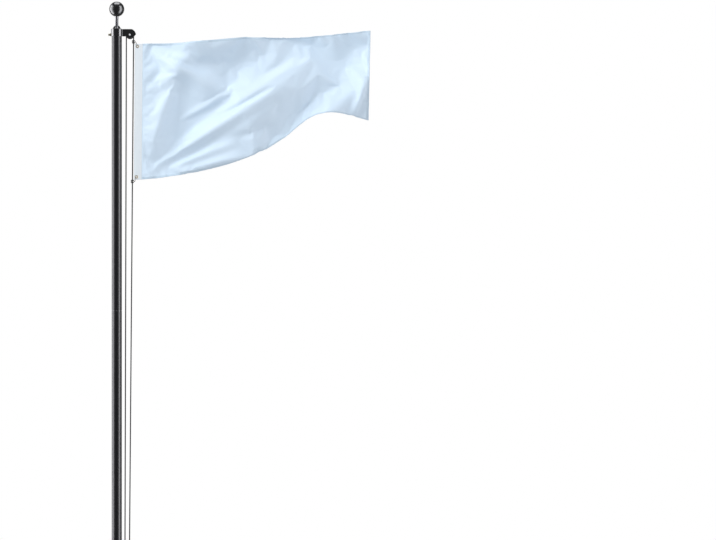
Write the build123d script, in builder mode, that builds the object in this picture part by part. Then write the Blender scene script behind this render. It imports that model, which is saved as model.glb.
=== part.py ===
"""Sectional flagpole: five black aluminium tubes, a truck with one sheave, a ball and a flag.

Millimetres. +Z is up, the origin is the centre of the pole's foot at ground level. The truck's arm
and the flag point towards +X, the set screw towards -X, and the front of the flag faces -Y.
"""
import math
import os

from build123d import *

os.makedirs("parts", exist_ok=True)

# Pole tubes
tube_count = 5
tube_length = 1524.0
buried_length = 600.0
pole_diameter = 50.8
pole_wall = 1.5
neck_length = 120.0
neck_clearance = 0.3
shoulder_height = 4.0
shoulder_seat = 0.7
mouth_chamfer = 0.5

# Truck cap, which slips over the pole's top
cap_wall = 3.6
cap_clearance = 0.3
cap_skirt = 35.7
cap_roof = 4.0
cap_edge_round = 1.2
cap_shoulder_radius = 22.0
cap_shoulder_rise = 3.0
boss_diameter = 27.2
boss_height = 17.3
boss_rim = 2.8

# Arm of the truck, two cheek plates on a root block
cheek_thickness = 3.0
cheek_gap = 11.0
axle_reach = 66.0
axle_drop = 28.2
nose_radius = 29.4
nose_cut_height = 10.0
nose_cut_back = 9.0
arm_root_reach = 41.0

# Sheave and its axle
sheave_diameter = 43.0
sheave_width = 10.0
sheave_hub_diameter = 17.0
sheave_hub_width = 10.6
sheave_recess = 2.0
sheave_recess_inner = 9.5
sheave_recess_outer = 13.0
groove_clearance = 0.3
groove_mouth = 8.6
rim_chamfer = 0.4
axle_diameter = 6.0
axle_running_gap = 0.08
axle_head_diameter = 11.0
axle_head_height = 3.6
axle_head_chamfer = 0.9
axle_end = 1.4
axle_end_chamfer = 0.7
axle_nut_flats = 10.0
axle_nut_height = 5.0
nut_corner_angle = 12

# Set screw through the cap, with its lock nut
screw_diameter = 8.0
screw_gap = 0.1
screw_height = 8.0
screw_tip_gap = 0.2
screw_neck = 3.0
screw_head_diameter = 11.6
screw_head_length = 5.0
screw_head_chamfer = 0.4
screw_slot_width = 1.3
screw_slot_depth = 1.5
lock_nut_flats = 13.0
lock_nut_height = 5.0
spot_depth = 0.4
spot_diameter = 17.0

# Finial
spindle_diameter = 15.9
spindle_rise = 32.5
spindle_socket = 13.0
stud_diameter = 12.0
stud_gap = 0.1
stud_in_ball = 10.0
stud_chamfer = 1.0
ball_collar_diameter = 17.2
ball_collar_height = 12.4
ball_diameter = 76.2
ball_wall = 1.0

# Halyard
rope_diameter = 6.0
pitch_radius = 18.0
wrap_radius = 9.5
wrap_pitch = 6.6
wrap_gap = 0.3
wrap_crossing = 1.0
hitch_run = 40.0

# Cleat
cleat_height = 1250.0
cleat_length = 116.0
cleat_foot_length = 52.0
cleat_foot_width = 20.0
cleat_foot_thickness = 4.0
cleat_neck_length = 36.0
cleat_neck_width = 14.0
cleat_neck_reach = 17.5
horn_thickness = 9.0
horn_width = 11.0
horn_tip_width = 7.0
horn_tip_rise = 5.0
horn_tip_thickness = 6.0
horn_edge_round = 1.5
cleat_screw_spacing = 18.0
cleat_screw_diameter = 4.2
cleat_screw_head_diameter = 8.4
cleat_screw_head_height = 2.4
cleat_screw_head_slope = 30
cleat_screw_recess = 1.2
cleat_screw_past_wall = 8.0
cleat_hole_gap = 0.2

# Flag, as it flies in a light wind
flag_hoist = 680.0
flag_top_gap = 5.5
heading_width = 40.0
heading_thickness = 2.4
heading_stand_off = 3.0
cloth_thickness = 1.6
cloth_lap = 2.0
flag_fly = 1178.0
# How far the upper and the lower edge rise above level, at shares of the way to the fly end
top_edge_rises = [(0, 0), (0.18, 6), (0.45, 34), (0.66, 38), (1, 72)]
bottom_edge_rises = [
    (0, 0), (0.12, 18), (0.32, 68), (0.46, 120), (0.6, 202), (0.7, 295), (0.77, 334), (0.88, 338), (1, 308),
]
flutter_depth = 30.0
flutter_count = 1.2
flutter_lean = 0.3
flutter_phase = 0.9
blown_back = 30.0
# The folds: where each starts and ends from the top hoist corner, its height, and its half width at
# its start and its end
folds = [
    ((30, -660), (880, -110), 64, 40, 75),
    ((35, -645), (200, -180), 30, 40, 55),
    ((40, -12), (380, -215), 30, 40, 60),
    ((60, 0), (620, 38), 34, 40, 75),
    ((800, -520), (1250, -100), 85, 85, 110),
    ((700, 45), (1220, 65), 30, 40, 45),
    ((1100, -400), (1150, -200), 24, 40, 40),
]
cloth_columns = 41
cloth_rows = 21
cloth_tolerance = 0.3
cloth_smoothing = (1, 0.1, 0.01)

# Grommets, snaps and the rope knots that hold them
grommet_inset = 14.0
grommet_bore = 8.0
grommet_barrel = 10.4
grommet_diameter = 17.0
grommet_flange = 0.8
grommet_gap = 0.1
knot_bore_gap = 0.6
knot_diameter = 16.0
knot_lobe = 6.0
knot_waist = 4.2
knot_waist_diameter = 10.2
eye_rise = 9.0
eye_wire = 3.4
eye_gap = 0.3
eye_lug = 4.6
eye_lug_diameter = 4.0
hook_wire = 3.2
hook_width = 12.4
hook_length = 20.5
swivel_diameter = 5.4
swivel_length = 2.6
gate_wire = 2.7
gate_gap = 0.2
gate_start = 3.0
gate_knob = 2.4
gate_knob_height = 1.8

# Worked out from the sizes above
pole_radius = pole_diameter / 2
bore_radius = pole_radius - pole_wall
neck_radius = bore_radius - neck_clearance
first_mouth = tube_length - buried_length
exposed_length = tube_length - neck_length
pole_top = first_mouth + (tube_count - 1) * exposed_length
cap_bore = pole_radius + cap_clearance
cap_radius = cap_bore + cap_wall
cap_top = pole_top + cap_roof
cap_bottom = cap_top - cap_skirt
axle_height = cap_top - axle_drop
rope_radius = rope_diameter / 2
screw_axis_height = cap_bottom + screw_height
neck_side = cleat_neck_width / 2 + rope_radius + wrap_gap
neck_end = cleat_neck_length / 2 + rope_radius + wrap_gap
horn_inside = pole_radius + cleat_foot_thickness + cleat_neck_reach
horn_outside = horn_inside + horn_thickness


def finish(piece, name):
    """Label a finished piece and write it."""
    piece.part.label = name
    export_step(piece.part, f"parts/{name}.step")


# Pole tubes: each upper tube has a swaged neck, which plugs into the mouth of the one below
def tube(number):
    mouth = first_mouth + (number - 1) * exposed_length
    base = mouth - exposed_length
    with BuildPart() as piece:
        with BuildSketch(Plane.XZ):
            with BuildLine():
                if number == 1:
                    Polyline((bore_radius, 0), (pole_radius, 0), (pole_radius, mouth - mouth_chamfer))
                    Line((bore_radius, 0), (bore_radius, mouth))
                else:
                    Polyline(
                        (neck_radius - pole_wall, base - neck_length),
                        (neck_radius, base - neck_length),
                        (neck_radius, base),
                        (bore_radius + shoulder_seat, base),
                        (pole_radius, base + shoulder_height),
                        (pole_radius, mouth - mouth_chamfer),
                    )
                    Polyline(
                        (neck_radius - pole_wall, base - neck_length),
                        (neck_radius - pole_wall, base),
                        (bore_radius, base + shoulder_height),
                        (bore_radius, mouth),
                    )
                Polyline(
                    (pole_radius, mouth - mouth_chamfer),
                    (pole_radius - mouth_chamfer, mouth),
                    (bore_radius, mouth),
                )
            make_face()
        revolve(axis=Axis.Z)
        if base < cleat_height < mouth:
            hole_plane = Plane(origin=(0, 0, cleat_height), x_dir=(0, 1, 0), z_dir=(1, 0, 0))
            with BuildSketch(hole_plane):
                with GridLocations(0, cleat_screw_spacing, 1, 2):
                    Circle(cleat_screw_diameter / 2 + cleat_hole_gap)
            extrude(amount=pole_diameter, mode=Mode.SUBTRACT)
    return piece


for number in range(1, tube_count + 1):
    finish(tube(number), f"tube_{number}")

# Truck cap: a skirt over the pole's top, a sloped shoulder, and a boss that takes the spindle
screw_plane = Plane(origin=(0, 0, screw_axis_height), x_dir=(0, 1, 0), z_dir=(-1, 0, 0))
with BuildPart() as truck_cap:
    with BuildSketch(Plane.XZ):
        with BuildLine():
            Polyline(
                (0, cap_bottom),
                (cap_radius, cap_bottom),
                (cap_radius, cap_top - cap_edge_round),
            )
            RadiusArc(
                (cap_radius, cap_top - cap_edge_round),
                (cap_radius - cap_edge_round, cap_top),
                -cap_edge_round,
            )
            Polyline(
                (cap_radius - cap_edge_round, cap_top),
                (cap_shoulder_radius, cap_top + cap_shoulder_rise),
                (boss_diameter / 2, cap_top + boss_height - boss_rim),
                (boss_diameter / 2, cap_top + boss_height),
                (0, cap_top + boss_height),
                (0, cap_bottom),
            )
        make_face()
    revolve(axis=Axis.Z)
    with BuildSketch(Plane.XY.offset(cap_bottom)):
        Circle(cap_bore)
    extrude(amount=cap_skirt - cap_roof, mode=Mode.SUBTRACT)
    with BuildSketch(Plane.XY.offset(cap_top + boss_height - spindle_socket)):
        Circle(spindle_diameter / 2 + screw_gap)
    extrude(amount=spindle_socket, mode=Mode.SUBTRACT)
    with BuildSketch(screw_plane):
        Circle(screw_diameter / 2 + screw_gap)
    extrude(amount=cap_radius, mode=Mode.SUBTRACT)
    with BuildSketch(screw_plane.offset(cap_radius - spot_depth)):
        Circle(spot_diameter / 2)
    extrude(amount=cap_wall, mode=Mode.SUBTRACT)
finish(truck_cap, "truck_cap")


# Arm: two cheek plates with a round nose about the axle, on a root block, all seated on the cap
def cheek(inner_face):
    nose_top = axle_reach + math.sqrt(nose_radius**2 - axle_drop**2)
    cut_top = cap_bottom + nose_cut_height
    nose_end = axle_reach + math.sqrt(nose_radius**2 - (cut_top - axle_height) ** 2)
    with BuildPart() as piece:
        with BuildSketch(Plane.XZ.offset(inner_face)):
            with BuildLine():
                Line((0, cap_top), (nose_top, cap_top))
                RadiusArc((nose_top, cap_top), (nose_end, cut_top), nose_radius)
                Polyline(
                    (nose_end, cut_top),
                    (nose_end - nose_cut_back, cap_bottom),
                    (0, cap_bottom),
                    (0, cap_top),
                )
            make_face()
            with Locations((axle_reach, axle_height)):
                Circle(axle_diameter / 2 + axle_running_gap, mode=Mode.SUBTRACT)
        extrude(amount=cheek_thickness)
        with BuildSketch(Plane.XY.offset(cap_bottom)):
            Circle(cap_radius)
        extrude(amount=cap_skirt, mode=Mode.SUBTRACT)
    return piece


finish(cheek(cheek_gap / 2), "arm_cheek_front")
finish(cheek(-cheek_gap / 2 - cheek_thickness), "arm_cheek_back")

with BuildPart() as arm_root:
    with BuildSketch(Plane.XY.offset(cap_bottom)):
        with Locations((arm_root_reach / 2, 0)):
            Rectangle(arm_root_reach, cheek_gap)
        Circle(cap_radius, mode=Mode.SUBTRACT)
    extrude(amount=cap_skirt)
finish(arm_root, "arm_root")

# Sheave: a moulded wheel with a rope groove, side recesses and a hub that spaces it in the cheeks
axle_centre = Vector(axle_reach, 0, axle_height)
axle_line = Axis(axle_centre, (0, 1, 0))
across_sheave = Plane(origin=axle_centre, x_dir=(0, 1, 0), z_dir=(1, 0, 0))
sheave_radius = sheave_diameter / 2
groove_radius = rope_radius + groove_clearance
with BuildPart() as sheave:
    with BuildSketch(across_sheave):
        with BuildLine():
            Line((0, axle_diameter / 2 + axle_running_gap), (0, pitch_radius - groove_radius))
            RadiusArc((0, pitch_radius - groove_radius), (groove_radius, pitch_radius), -groove_radius)
            Polyline(
                (groove_radius, pitch_radius),
                (groove_mouth / 2, sheave_radius),
                (sheave_width / 2 - rim_chamfer, sheave_radius),
                (sheave_width / 2, sheave_radius - rim_chamfer),
                (sheave_width / 2, sheave_recess_outer + sheave_recess / 2),
                (sheave_width / 2 - sheave_recess, sheave_recess_outer),
                (sheave_width / 2 - sheave_recess, sheave_recess_inner),
                (sheave_hub_width / 2, sheave_hub_diameter / 2),
                (sheave_hub_width / 2, axle_diameter / 2 + axle_running_gap),
                (0, axle_diameter / 2 + axle_running_gap),
            )
        make_face()
        mirror(about=Plane.YZ)
    revolve(axis=axle_line)
finish(sheave, "sheave")

# Axle: a bolt with its round head at the back and a hexagon nut at the front
cheek_outside = cheek_gap / 2 + cheek_thickness
with BuildPart() as sheave_axle:
    with BuildSketch(Plane.XZ.offset(-cheek_outside)):
        with Locations((axle_reach, axle_height)):
            Circle(axle_diameter / 2)
    extrude(amount=2 * cheek_outside + axle_nut_height + axle_end)
    with BuildSketch(Plane.XZ.offset(-cheek_outside - axle_head_height)):
        with Locations((axle_reach, axle_height)):
            Circle(axle_head_diameter / 2)
    extrude(amount=axle_head_height)
    chamfer(sheave_axle.faces().sort_by(Axis.Y)[-1].edges(), axle_head_chamfer)
    chamfer(sheave_axle.faces().sort_by(Axis.Y)[0].edges(), axle_end_chamfer)
finish(sheave_axle, "sheave_axle")


def hexagon_nut(plane, flats, height, bore):
    """A nut standing on the plane, with its outer corners turned down."""
    with BuildPart() as piece:
        with BuildSketch(plane):
            RegularPolygon(flats / 2, 6, major_radius=False)
            Circle(bore, mode=Mode.SUBTRACT)
        extrude(amount=height)
        with BuildSketch(plane):
            Circle(flats / math.sqrt(3))
        extrude(amount=height, taper=nut_corner_angle, mode=Mode.INTERSECT)
    return piece


front_of_cheek = Plane(
    origin=(axle_reach, -cheek_outside, axle_height), x_dir=(1, 0, 0), z_dir=(0, -1, 0)
)
axle_nut = hexagon_nut(
    front_of_cheek, axle_nut_flats, axle_nut_height, axle_diameter / 2 + screw_gap
)
finish(axle_nut, "axle_nut")

# Set screw and lock nut: the tip bears on the pole, the nut sits in a spot face on the cap
spot_face = cap_radius - spot_depth
head_start = spot_face + lock_nut_height + screw_neck
with BuildPart() as truck_set_screw:
    with BuildSketch(screw_plane.offset(pole_radius + screw_tip_gap)):
        Circle(screw_diameter / 2)
    extrude(amount=head_start - pole_radius - screw_tip_gap)
    with BuildSketch(screw_plane.offset(head_start)):
        Circle(screw_head_diameter / 2)
    extrude(amount=screw_head_length)
    chamfer(truck_set_screw.faces().sort_by(Axis.X)[0].edges(), screw_head_chamfer)
    with BuildSketch(screw_plane.offset(head_start + screw_head_length - screw_slot_depth)):
        Rectangle(screw_slot_width, 2 * screw_head_diameter)
    extrude(amount=screw_slot_depth, mode=Mode.SUBTRACT)
finish(truck_set_screw, "truck_set_screw")

truck_lock_nut = hexagon_nut(
    screw_plane.offset(spot_face), lock_nut_flats, lock_nut_height, screw_diameter / 2 + screw_gap
)
finish(truck_lock_nut, "truck_lock_nut")

# Finial: a steel spindle in the boss, a collar on its shoulder and a hollow spun ball
boss_top = cap_top + boss_height
spindle_top = boss_top + spindle_rise
ball_centre = spindle_top + ball_collar_height + ball_diameter / 2
with BuildPart() as spindle:
    with BuildSketch(Plane.XY.offset(boss_top - spindle_socket)):
        Circle(spindle_diameter / 2)
    extrude(amount=spindle_socket + spindle_rise)
    with BuildSketch(Plane.XY.offset(spindle_top)):
        Circle(stud_diameter / 2)
    extrude(amount=ball_collar_height + stud_in_ball)
    chamfer(spindle.faces().sort_by(Axis.Z)[-1].edges(), stud_chamfer)
finish(spindle, "spindle")

with BuildPart() as ball_collar:
    with BuildSketch(Plane.XY.offset(spindle_top)):
        Circle(ball_collar_diameter / 2)
        Circle(stud_diameter / 2 + stud_gap, mode=Mode.SUBTRACT)
    extrude(amount=ball_collar_height + ball_wall)
    with Locations((0, 0, ball_centre)):
        Sphere(ball_diameter / 2, mode=Mode.SUBTRACT)
finish(ball_collar, "ball_collar")

with BuildPart() as ball:
    with Locations((0, 0, ball_centre)):
        Sphere(ball_diameter / 2)
        Sphere(ball_diameter / 2 - ball_wall, mode=Mode.SUBTRACT)
    with BuildSketch(Plane.XY.offset(spindle_top)):
        Circle(stud_diameter / 2 + stud_gap)
    extrude(amount=ball_diameter / 2, mode=Mode.SUBTRACT)
finish(ball, "ball")

# Halyard: one taut loop over the sheave, down both sides and round the neck of the cleat. Each
# line is straight from its tangent point on the sheave to the first corner of the round turns.
low_turn = cleat_height - neck_end
high_turn = cleat_height + neck_end
wrap_start = pole_radius + cleat_foot_thickness + rope_radius + wrap_gap
wrap_side = [Vector(wrap_start + turn * wrap_pitch / 2, 0, 0) for turn in range(4)]
to_back = Vector(0, neck_side, 0)
inner_corner = wrap_side[0] + to_back + Vector(0, 0, low_turn)
outer_corner = wrap_side[3] - to_back + Vector(0, 0, low_turn)


def leaving_sheave(target, side):
    """The point where a straight line to the target leaves the rope's circle on the sheave."""
    away = target - axle_centre
    reach = math.hypot(away.X, away.Z)
    angle = math.atan2(away.Z, away.X) + side * math.acos(pitch_radius / reach)
    return axle_centre + Vector(math.cos(angle), 0, math.sin(angle)) * pitch_radius


inner_top = leaving_sheave(inner_corner, -1)
outer_top = leaving_sheave(outer_corner, 1)
inner_down = (inner_corner - inner_top).normalized()
outer_down = (outer_corner - outer_top).normalized()
inner_end = inner_corner - inner_down * (cleat_neck_length + hitch_run)
outer_end = outer_corner - outer_down * (cleat_neck_length + hitch_run)


def straight_line(start, direction, end):
    with BuildPart() as piece:
        with BuildSketch(Plane(origin=start, z_dir=direction)):
            Circle(rope_radius)
        extrude(amount=(end - start).length)
    return piece


finish(straight_line(inner_top, inner_down, inner_end), "halyard_inner_line")
finish(straight_line(outer_top, outer_down, outer_end), "halyard_outer_line")

with BuildPart() as halyard_over_sheave:
    with BuildLine() as over_sheave:
        ThreePointArc(inner_top, axle_centre + Vector(0, 0, pitch_radius), outer_top)
    with BuildSketch(Plane(origin=inner_top, z_dir=over_sheave.line % 0)):
        Circle(rope_radius)
    sweep()
finish(halyard_over_sheave, "halyard_over_sheave")

with BuildPart() as halyard_round_turns:
    with BuildLine() as round_turns:
        FilletPolyline(
            inner_end,
            inner_corner,
            wrap_side[1] - to_back + Vector(0, 0, low_turn),
            wrap_side[1] - to_back + Vector(wrap_crossing, 0, high_turn),
            wrap_side[2] + to_back + Vector(-wrap_crossing, 0, high_turn),
            wrap_side[2] + to_back + Vector(0, 0, low_turn),
            outer_corner,
            outer_end,
            radius=wrap_radius,
        )
    with BuildSketch(Plane(origin=inner_end, z_dir=inner_down)):
        Circle(rope_radius)
    sweep()
finish(halyard_round_turns, "halyard_round_turns")
print("round turns, volume against section times length:", round(
    halyard_round_turns.part.volume / (math.pi * rope_radius**2 * round_turns.wire().length), 4))

# Cleat: a foot saddled on the pole, an oval neck and two horns that taper and rise to their tips
cleat_plane = Plane(origin=(0, 0, cleat_height), x_dir=(0, 1, 0), z_dir=(1, 0, 0))
tip_inside = horn_inside + horn_tip_rise
tip_outside = tip_inside + horn_tip_thickness
lower_tip = cleat_height - cleat_length / 2
upper_tip = cleat_height + cleat_length / 2
with BuildPart() as horns:
    with BuildSketch(Plane.XZ.offset(-horn_width / 2)):
        with BuildLine():
            ThreePointArc((tip_inside, lower_tip), (horn_inside, cleat_height), (tip_inside, upper_tip))
            Line((tip_inside, upper_tip), (tip_outside, upper_tip))
            ThreePointArc((tip_outside, upper_tip), (horn_outside, cleat_height), (tip_outside, lower_tip))
            Line((tip_outside, lower_tip), (tip_inside, lower_tip))
        make_face()
    extrude(amount=horn_width)
    with BuildSketch(cleat_plane):
        with BuildLine():
            tip_half = horn_tip_width / 2
            tip_end = cleat_length / 2
            ThreePointArc(
                (tip_half, tip_half - tip_end), (horn_width / 2, 0), (tip_half, tip_end - tip_half)
            )
            ThreePointArc(
                (tip_half, tip_end - tip_half), (0, tip_end), (-tip_half, tip_end - tip_half)
            )
            ThreePointArc(
                (-tip_half, tip_end - tip_half), (-horn_width / 2, 0), (-tip_half, tip_half - tip_end)
            )
            ThreePointArc(
                (-tip_half, tip_half - tip_end), (0, -tip_end), (tip_half, tip_half - tip_end)
            )
        make_face()
    extrude(amount=2 * horn_outside, mode=Mode.INTERSECT)
    fillet(horns.edges().group_by(Axis.X)[-1], horn_edge_round)

with BuildPart() as cleat:
    with BuildSketch(cleat_plane):
        SlotOverall(cleat_foot_length, cleat_foot_width, rotation=90)
    extrude(amount=pole_radius + cleat_foot_thickness)
    with BuildSketch(cleat_plane):
        SlotOverall(cleat_neck_length, cleat_neck_width, rotation=90)
    extrude(amount=horn_inside + horn_thickness / 2)
    add(horns.part)
    with BuildSketch(Plane.XY.offset(cleat_height - cleat_length)):
        Circle(pole_radius)
    extrude(amount=2 * cleat_length, mode=Mode.SUBTRACT)
    with BuildSketch(cleat_plane):
        with GridLocations(0, cleat_screw_spacing, 1, 2):
            Circle(cleat_screw_diameter / 2 + cleat_hole_gap)
    extrude(amount=2 * horn_outside, mode=Mode.SUBTRACT)
    with BuildSketch(cleat_plane.offset(horn_outside - cleat_screw_recess)):
        with GridLocations(0, cleat_screw_spacing, 1, 2):
            Circle(cleat_screw_head_diameter / 2 + cleat_hole_gap)
    extrude(amount=horn_thickness, mode=Mode.SUBTRACT)
finish(cleat, "cleat")


def cleat_screw(height):
    """A round-headed screw through the cleat and the wall of the pole."""
    tip = pole_radius - pole_wall - cleat_screw_past_wall
    seat = horn_outside - cleat_screw_recess - tip
    plane = Plane(origin=(tip, 0, height), x_dir=(0, 1, 0), z_dir=(1, 0, 0))
    with BuildPart() as piece:
        with BuildSketch(plane):
            Circle(cleat_screw_diameter / 2)
        extrude(amount=seat)
        with BuildSketch(plane.offset(seat)):
            Circle(cleat_screw_head_diameter / 2)
        extrude(amount=cleat_screw_head_height, taper=cleat_screw_head_slope)
    return piece


finish(cleat_screw(cleat_height + cleat_screw_spacing / 2), "cleat_screw_upper")
finish(cleat_screw(cleat_height - cleat_screw_spacing / 2), "cleat_screw_lower")

# Flag: everything on it is set out in a plane along the outer line, with x away from the line and
# y up along it, and y = 0 at the top edge of the flag
knot_half = knot_lobe + knot_waist / 2
sheave_bottom = axle_height - sheave_radius
top_edge_height = sheave_bottom - flag_top_gap - knot_half - eye_rise
top_edge_on_line = outer_top + outer_down * ((top_edge_height - outer_top.Z) / outer_down.Z)
across_line = (Vector(1, 0, 0) - outer_down * outer_down.X).normalized()
flag_plane = Plane(
    origin=top_edge_on_line, x_dir=across_line, z_dir=across_line.cross(outer_down * -1)
)
line_axis = Axis(top_edge_on_line, outer_down * -1)
hoist_edge = rope_radius + heading_stand_off
grommet_x = hoist_edge + grommet_inset
grommet_heights = {"upper": -grommet_inset, "lower": grommet_inset - flag_hoist}
eye_heights = {"upper": eye_rise, "lower": -flag_hoist - eye_rise}

with BuildPart() as flag_heading:
    with BuildSketch(flag_plane.offset(-heading_thickness / 2)):
        with Locations((hoist_edge + heading_width / 2, -flag_hoist / 2)):
            Rectangle(heading_width, flag_hoist)
        with Locations(*[(grommet_x, height) for height in grommet_heights.values()]):
            Circle(grommet_barrel / 2 + grommet_gap, mode=Mode.SUBTRACT)
    extrude(amount=heading_thickness)
finish(flag_heading, "flag_heading")


def edge_line(rises, level):
    """An edge of the cloth, from its lap on the heading to the fly end, in the flag's own plane."""
    start = heading_width - cloth_lap
    reach = flag_fly - start
    return Spline(*[Vector(start + share * reach, level + rise) for share, rise in rises])


def ease(share):
    """From 0 to 1, smooth at both ends."""
    share = min(1.0, max(0.0, share))
    return share * share * (3 - 2 * share)


def fold_depth(point, start, end, height, narrow, wide):
    """How far one fold stands out at a point of the flag. It fades in from its start."""
    start, end = Vector(*start), Vector(*end)
    line = end - start
    share = (point - start).dot(line) / line.length**2
    away = (point - start).cross(line).length / line.length
    width = narrow + (wide - narrow) * min(1.0, max(0.0, share))
    fading = ease(share / 0.45) * ease((1.35 - share) / 0.45)
    return height * fading * math.exp(-((away / width) ** 2))


def cloth_point(along, down):
    """A point of the cloth's front, at a share of the way to the fly end and down the hoist."""
    high, low = top_edge @ along, bottom_edge @ along
    point = high + (low - high) * down
    turn = 2 * math.pi * (flutter_count * along - flutter_lean * down) - flutter_phase
    depth = flutter_depth * ease(along / 0.3) * math.sin(turn) - blown_back * ease(along / 0.35)
    depth += ease(along / 0.12) * sum(fold_depth(point, *fold) for fold in folds)
    front = depth + cloth_thickness / 2
    return flag_plane.from_local_coords(Vector(hoist_edge + point.X, point.Y, front))


with BuildLine():
    top_edge = edge_line(top_edge_rises, 0)
    bottom_edge = edge_line(bottom_edge_rises, -flag_hoist)
cloth_grid = [
    [
        cloth_point(column / (cloth_columns - 1), row / (cloth_rows - 1))
        for row in range(cloth_rows)
    ]
    for column in range(cloth_columns)
]
with BuildPart() as flag_cloth:
    cloth_front = Face.make_surface_from_array_of_points(
        cloth_grid, tol=cloth_tolerance, smoothing=cloth_smoothing, min_deg=3, max_deg=5
    )
    thicken(cloth_front, amount=cloth_thickness)
    with BuildSketch(flag_plane.offset(-heading_width / 2)):
        with Locations((hoist_edge + heading_width / 2, -flag_hoist / 2)):
            Rectangle(heading_width, 2 * flag_hoist)
    extrude(amount=heading_width, mode=Mode.SUBTRACT)
finish(flag_cloth, "flag_cloth")


# Grommets: a barrel through the heading with a flange turned over on each face
def grommet(height):
    centre = flag_plane.from_local_coords(Vector(grommet_x, height, 0))
    section = Plane(origin=centre, x_dir=flag_plane.x_dir, z_dir=flag_plane.y_dir)
    face = heading_thickness / 2
    with BuildPart() as piece:
        with BuildSketch(section):
            with BuildLine():
                Polyline(
                    (grommet_bore / 2, 0),
                    (grommet_bore / 2, -face - grommet_flange),
                    (grommet_diameter / 2 - grommet_flange, -face - grommet_flange),
                    (grommet_diameter / 2, -face),
                    (grommet_barrel / 2, -face),
                    (grommet_barrel / 2, 0),
                    (grommet_bore / 2, 0),
                )
            make_face()
            mirror(about=Plane.XZ)
        revolve(axis=Axis(centre, flag_plane.z_dir))
    return piece


# Knots: the halyard's two turns above and below each snap eye, free of the line that they ride on
def knot(height):
    with BuildPart() as piece:
        with BuildSketch(flag_plane):
            with BuildLine():
                inside = rope_radius + knot_bore_gap
                waist = knot_waist_diameter / 2
                lobe_bulge = knot_diameter / 2
                Line((inside, height - knot_half), (inside, height + knot_half))
                Line((inside, height + knot_half), (waist, height + knot_half))
                ThreePointArc(
                    (waist, height + knot_half),
                    (lobe_bulge, height + knot_half - knot_lobe / 2),
                    (waist, height + knot_waist / 2),
                )
                Line((waist, height + knot_waist / 2), (waist, height - knot_waist / 2))
                ThreePointArc(
                    (waist, height - knot_waist / 2),
                    (lobe_bulge, height - knot_half + knot_lobe / 2),
                    (waist, height - knot_half),
                )
                Line((waist, height - knot_half), (inside, height - knot_half))
            make_face()
        revolve(axis=line_axis)
    return piece


# Snaps: an eye round the line, a swivel, and a long hook through the grommet, closed by a gate
def snap_places(end):
    grommet_centre = flag_plane.from_local_coords(Vector(grommet_x, grommet_heights[end], 0))
    eye_ring = knot_waist_diameter / 2 + eye_gap + eye_wire / 2
    joint = flag_plane.from_local_coords(Vector(eye_ring + eye_lug, eye_heights[end], 0))
    along = (joint - grommet_centre).normalized()
    hook_plane = Plane(origin=grommet_centre, x_dir=flag_plane.z_dir, z_dir=along.cross(flag_plane.z_dir))
    return eye_ring, joint, along, hook_plane


def snap(end):
    eye_ring, joint, along, hook_plane = snap_places(end)
    side = hook_width / 2 - hook_wire / 2
    up = 1 if hook_plane.y_dir.dot(along) > 0 else -1
    with BuildPart() as piece:
        with BuildSketch(flag_plane):
            with Locations((-eye_ring, eye_heights[end])):
                Circle(eye_wire / 2)
        revolve(axis=line_axis)
        with BuildSketch(Plane(origin=joint, z_dir=flag_plane.x_dir)):
            Circle(eye_lug_diameter / 2)
        extrude(amount=-eye_lug)
        with BuildLine(hook_plane) as hook:
            Line((side, up * (side + gate_start)), (side, up * side))
            ThreePointArc((side, up * side), (0, 0), (-side, up * side))
            Line((-side, up * side), (-side, up * (hook_length - side)))
            ThreePointArc(
                (-side, up * (hook_length - side)), (0, up * hook_length), (side, up * (hook_length - side))
            )
        with BuildSketch(Plane(origin=hook.line @ 0, z_dir=hook.line % 0)):
            Circle(hook_wire / 2)
        sweep()
        neck_start = hook_plane.origin + along * hook_length
        with BuildSketch(Plane(origin=neck_start, z_dir=along)):
            Circle(hook_wire / 2)
        extrude(amount=(joint - neck_start).length)
        with BuildSketch(Plane(origin=neck_start + along * hook_wire / 2, z_dir=along)):
            Circle(swivel_diameter / 2)
        extrude(amount=swivel_length)
    return piece


def snap_gate(end):
    eye_ring, joint, along, hook_plane = snap_places(end)
    side = hook_width / 2 - hook_wire / 2
    start = hook_plane.origin + hook_plane.x_dir * side + along * (side + gate_start + gate_gap)
    length = hook_length - 2 * side - gate_start - 2 * gate_gap
    with BuildPart() as piece:
        with BuildSketch(Plane(origin=start, z_dir=along)):
            Circle(gate_wire / 2)
        extrude(amount=length)
        with BuildSketch(Plane(origin=start + along * length / 2, z_dir=hook_plane.x_dir)):
            Circle(gate_knob / 2)
        extrude(amount=gate_wire / 2 + gate_knob_height)
    return piece


for end in ("upper", "lower"):
    finish(grommet(grommet_heights[end]), f"{end}_grommet")
    finish(knot(eye_heights[end]), f"{end}_knot")
    finish(snap(end), f"{end}_snap")
    finish(snap_gate(end), f"{end}_snap_gate")

print("slide axis", outer_down.X, outer_down.Y, outer_down.Z)
print("axle", axle_centre, "ball top", ball_centre + ball_diameter / 2)
print("flag's top edge on the line", top_edge_on_line)
print("line ends", inner_top, inner_end, outer_top, outer_end)
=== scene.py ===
"""Looks of the sectional flagpole: black tubes, truck with its sheave, ball, halyard and flag.

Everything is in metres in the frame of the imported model, with the foot of the pole at the origin.
"""
import math

import bpy
from mathutils import Matrix, Vector, noise


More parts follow.
